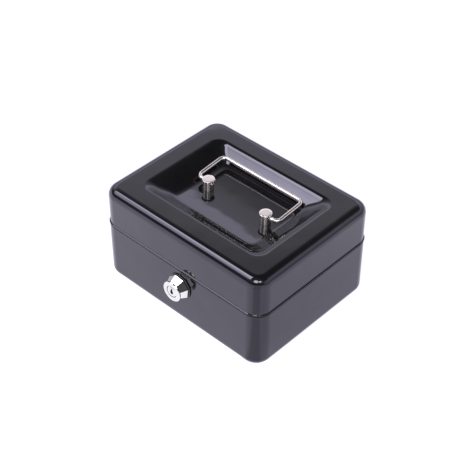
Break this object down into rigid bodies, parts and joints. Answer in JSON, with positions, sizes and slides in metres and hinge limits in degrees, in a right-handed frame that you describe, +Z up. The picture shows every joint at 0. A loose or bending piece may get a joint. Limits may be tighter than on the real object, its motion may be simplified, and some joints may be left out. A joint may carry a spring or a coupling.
{
  "type": "cash box",
  "caption": "Small lockable steel cash box: hinged lid with a dished top and folding wire bail, cam lock on the front, removable coin tray inside.",
  "frame": {"origin": "centre of the underside of the base, on the surface that the box stands on", "axes": "+X to the right along the front, +Y to the back, +Z up; the lock is on the -Y side and the hinges are on the +Y side"},
  "size_m": [0.1528, 0.1318, 0.08],
  "materials": {
    "black_enamel": "gloss",
    "handle_nickel": "polished",
    "lock_chrome": "polished",
    "zinc_hardware": "satin",
    "wafer_brass": "satin",
    "tray_plastic": "satin"
  },
  "bodies": {
    "base": {"base_shell": "black_enamel", "lock_body": "lock_chrome", "lock_washer": "tray_plastic", "lock_nut": "zinc_hardware", "hinge_leaf_base_left": "zinc_hardware", "hinge_leaf_base_right": "zinc_hardware", "hinge_pin_left": "zinc_hardware", "hinge_pin_right": "zinc_hardware", "rivet_base_left_a": "zinc_hardware", "rivet_base_left_b": "zinc_hardware", "rivet_base_right_a": "zinc_hardware", "rivet_base_right_b": "zinc_hardware", "tray_ledge_left": "zinc_hardware", "tray_ledge_right": "zinc_hardware"},
    "lid": {"lid_shell": "black_enamel", "handle_post_left": "handle_nickel", "handle_post_right": "handle_nickel", "handle_post_washer_left": "zinc_hardware", "handle_post_washer_right": "zinc_hardware", "handle_post_screw_left": "zinc_hardware", "handle_post_screw_right": "zinc_hardware", "keeper_bracket": "zinc_hardware", "hinge_leaf_lid_left": "zinc_hardware", "hinge_leaf_lid_right": "zinc_hardware", "rivet_lid_left_a": "zinc_hardware", "rivet_lid_left_b": "zinc_hardware", "rivet_lid_right_a": "zinc_hardware", "rivet_lid_right_b": "zinc_hardware"},
    "handle": {"handle_bail": "handle_nickel"},
    "lock_cylinder": {"lock_plug": "lock_chrome", "lock_wafer_1": "wafer_brass", "lock_wafer_2": "wafer_brass", "lock_wafer_3": "wafer_brass", "lock_wafer_4": "wafer_brass", "lock_cam": "zinc_hardware", "cam_screw": "zinc_hardware"},
    "tray": {"coin_tray": "tray_plastic"}
  },
  "joints": [
    {"name": "lid_hinge", "type": "hinge", "parent": "base", "child": "lid", "pos_m": [0, 0.0618, 0.0484], "axis": [-1, 0, 0], "range_deg": [0, 100]},
    {"name": "handle_pivot", "type": "hinge", "parent": "lid", "child": "handle", "pos_m": [0.0002, 0.0002, 0.0761], "axis": [1, 0, 0], "range_deg": [-9, 176]},
    {"name": "key_turn", "type": "hinge", "parent": "base", "child": "lock_cylinder", "pos_m": [0.0023, -0.0595, 0.0341], "axis": [0, 1, 0], "range_deg": [0, 90]},
    {"name": "tray_lift", "type": "slide", "parent": "base", "child": "tray", "axis": [0, 0, 1], "range_m": [0, 0.014]}
  ]
}
